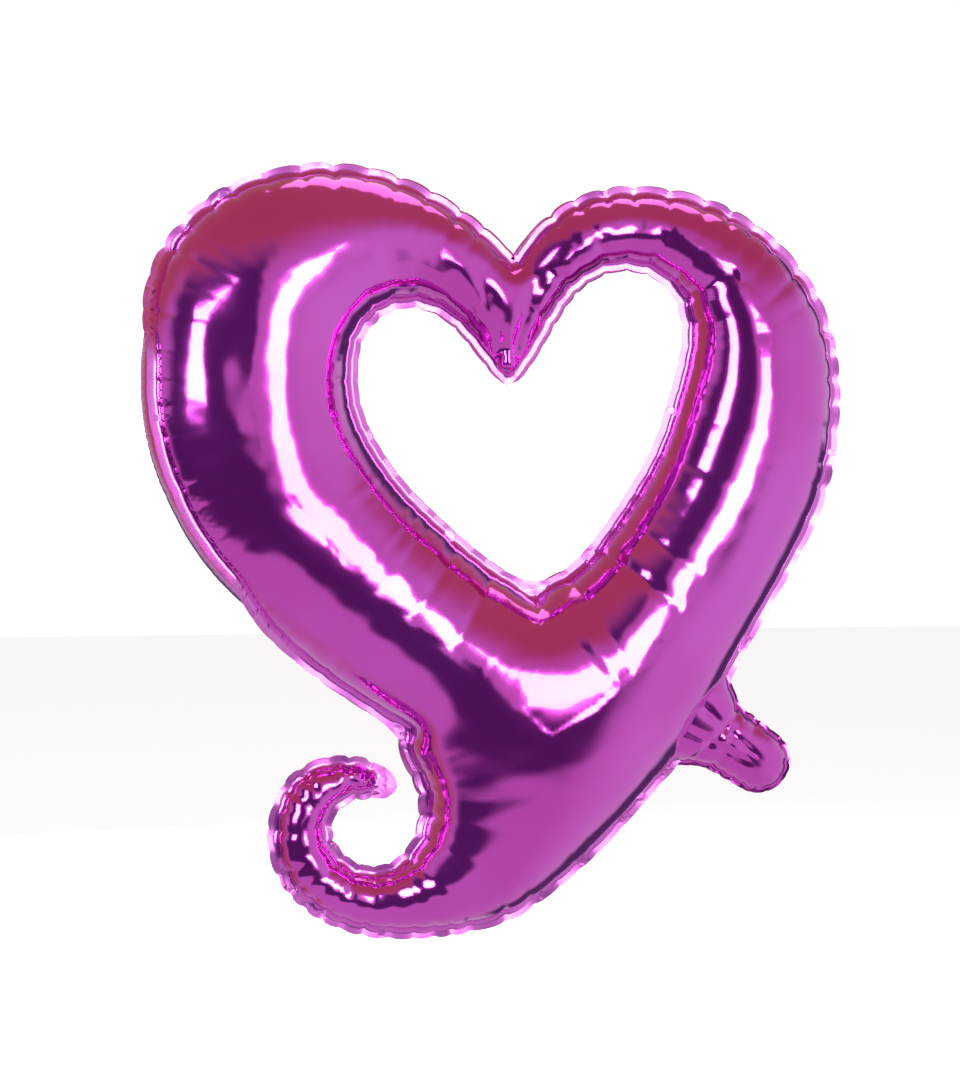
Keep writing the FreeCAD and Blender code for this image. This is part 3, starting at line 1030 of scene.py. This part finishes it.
marginValue = inMargin & ~inPuff
intoMargin = np.where(marginValue, np.minimum(gap / filmShape["margin"], 1), 0)
deepIn = np.where(inPuff & ~held, np.hypot(gap, height), 0.0)
for piece in (frontFilm, rearFilm):
    store(piece, "margin", np.where(marginValue, 1.0, 0.0))
    store(piece, "gather", np.exp(-deepIn / 0.022))
    store(piece, "emboss", 0.5 + 0.5 * np.cos(intoMargin * 6 * math.pi))
for piece in (tailFront, tailRear):
    store(piece, "margin", np.zeros(len(piece.data.vertices)))
    store(piece, "gather", np.full(len(piece.data.vertices), 0.7))
    store(piece, "emboss", np.zeros(len(piece.data.vertices)))

foil, weld, valve, printed = magentaFoil(), heatWeld(), clearValve(), releasePrint()
for piece in (frontFilm, rearFilm, tailFront, tailRear):
    piece.data.materials.append(foil)
for piece in (outerWeld, openingWeld):
    piece.data.materials.append(weld)
replaced = {
    "front_panel", "rear_panel", "outer_seam", "opening_seam",
    "tail_front_film", "tail_rear_film", "tail_side_seams",
}
for name, node in frame["nodes"].items():
    if name in replaced:
        continue
    chosen = valve if name.startswith("valve") else printed if name.startswith("release") else weld
    node.data.materials.clear()
    node.data.materials.append(chosen)
print("materials made")

# studio
studio = {
    "floorDrop": 0.34,
    "key": {"azimuth": 13, "elevation": 7, "away": 2.5, "size": (0.70, 0.95), "power": 15},
    "window": {"azimuth": -41, "elevation": 12, "away": 2.2, "size": (0.62, 1.1), "power": 16},
    "back": {"azimuth": 190, "elevation": 8, "away": 2.5, "size": (0.8, 0.9), "power": 14},
    "top": {"azimuth": 150, "elevation": 66, "away": 2.0, "size": (1.5, 1.0), "power": 5},
    "dim": (0.095, 0.050, 0.135, 1),
    "middle": (0.60, 0.52, 0.58, 1),
    "warm": (0.46, 0.24, 0.15, 1),
    "bright": (0.68, 0.74, 0.70, 1),
}

floorLevel = cadBounds[0][2] - studio["floorDrop"]
floorMesh = bpy.data.meshes.new("floor")
corners = [(-5, -5, 0), (5, -5, 0), (5, 6, 0), (-5, 6, 0)]
floorMesh.from_pydata(corners, [], [(0, 1, 2, 3)])
floor = bpy.data.objects.new("floor", floorMesh)
floor.location.z = floorLevel
floor.visible_glossy = False  # the film mirrors the room's tones alone
bpy.context.scene.collection.objects.link(floor)
paleFloor = material("paleFloor", {"Base Color": (0.93, 0.93, 0.93, 1), "Roughness": 0.7})[0]
floorMesh.materials.append(paleFloor)

world = bpy.context.scene.world or bpy.data.worlds.new("studio")
bpy.context.scene.world = world
world.use_nodes = True
world.cycles.sampling_method = "NONE"  # so that each kind of ray sees its own side of the mix below
room = Recipe(world.node_tree)
facing = room.node("ShaderNodeTexCoord", {}, {}, 0)
toRight, toBack, up = (room.node("ShaderNodeSeparateXYZ", {}, {0: facing}, i) for i in range(3))
toLeft, toFront, down = toRight * -1.0, toBack * -1.0, up * -1.0


def band(value, begins, full, fades, ends):
    # 1 between full and fades, easing to 0 at begins and at ends
    return room.between(value, begins, full) * (1 - room.between(value, fades, ends))


tone = room.blend(room.between(up, 0.30, 0.75), studio["middle"], studio["warm"])
# the bright side on the right
right = room.between(toRight, 0.30, 0.75) * (1 - room.between(up, 0.3, 0.6))
tone = room.blend(right, tone, studio["bright"])
# a dark strip low in front
below = band(down, 0.05, 0.12, 0.42, 0.54) * (1 - room.between(toRight, 0.30, 0.60))
tone = room.blend(below * room.between(toFront, 0.0, 0.3), tone, studio["dim"])
# a dark wall in front on the left
left = band(toLeft, 0.04, 0.14, 0.86, 0.97) * room.between(toFront, 0.0, 0.3)
left = left * (1 - room.between(up, 0.45, 0.7)) * (1 - room.between(down, 0.36, 0.52))
tone = room.blend(left, tone, studio["dim"])
# warm light from the left and behind
behind = room.between(toLeft, 0.35, 0.8) * room.between(toBack, -0.2, 0.3)
tone = room.blend(behind, tone, studio["warm"])
# the same two dark parts again behind, so the rear film has something to mirror
rearBand = room.between(toBack, 0.25, 0.5) * band(down, 0.05, 0.12, 0.4, 0.52)
tone = room.blend(rearBand * (1 - room.between(toLeft, 0.2, 0.5)), tone, studio["dim"])
rearSide = room.between(toBack, 0.3, 0.5) * band(toRight, 0.22, 0.34, 0.7, 0.85)
tone = room.blend(rearSide * (1 - room.between(up, 0.4, 0.6)), tone, studio["dim"])
background = world.node_tree.nodes["Background"]
room.feed(background, {"Color": tone, "Strength": 1.0})
seen = room.node("ShaderNodeBackground", {}, {"Color": (1, 1, 1, 1), "Strength": 1.08})
glossy = room.node("ShaderNodeLightPath", {}, {}, 3)  # shiny film sees the room, the rest plain white
mixed = room.node("ShaderNodeMixShader", {}, {0: glossy, 1: seen, 2: Wire(room, background.outputs[0])})
room.feed(world.node_tree.nodes["World Output"], {"Surface": mixed})


def toward(azimuth, elevation):
    a, e = math.radians(azimuth), math.radians(elevation)
    return Vector((math.sin(a) * math.cos(e), -math.cos(a) * math.cos(e), math.sin(e)))


for name in ("key", "window", "back", "top"):
    look = studio[name]
    data = bpy.data.lights.new(name, "AREA")
    data.shape = "RECTANGLE"
    data.size, data.size_y = look["size"]
    data.energy = look["power"]
    lamp = bpy.data.objects.new(name, data)
    direction = toward(look["azimuth"], look["elevation"])
    lamp.location = direction * look["away"]
    lamp.rotation_euler = direction.to_track_quat("Z", "Y").to_euler()
    lamp.visible_camera = False
    bpy.context.scene.collection.objects.link(lamp)
bpy.context.scene.view_settings.view_transform = "Standard"

view = {"azimuth": -8, "elevation": 3, "away": 1.6, "lens": 92, "aim": (-0.008, 0, 0.008)}
cameraData = bpy.data.cameras.new("camera")
cameraData.lens, cameraData.sensor_width = view["lens"], 36
camera = bpy.data.objects.new("camera", cameraData)
camera.location = Vector(view["aim"]) + view["away"] * toward(view["azimuth"], view["elevation"])
camera.rotation_euler = toward(view["azimuth"], view["elevation"]).to_track_quat("Z", "Y").to_euler()
bpy.context.scene.collection.objects.link(camera)
bpy.context.scene.camera = camera
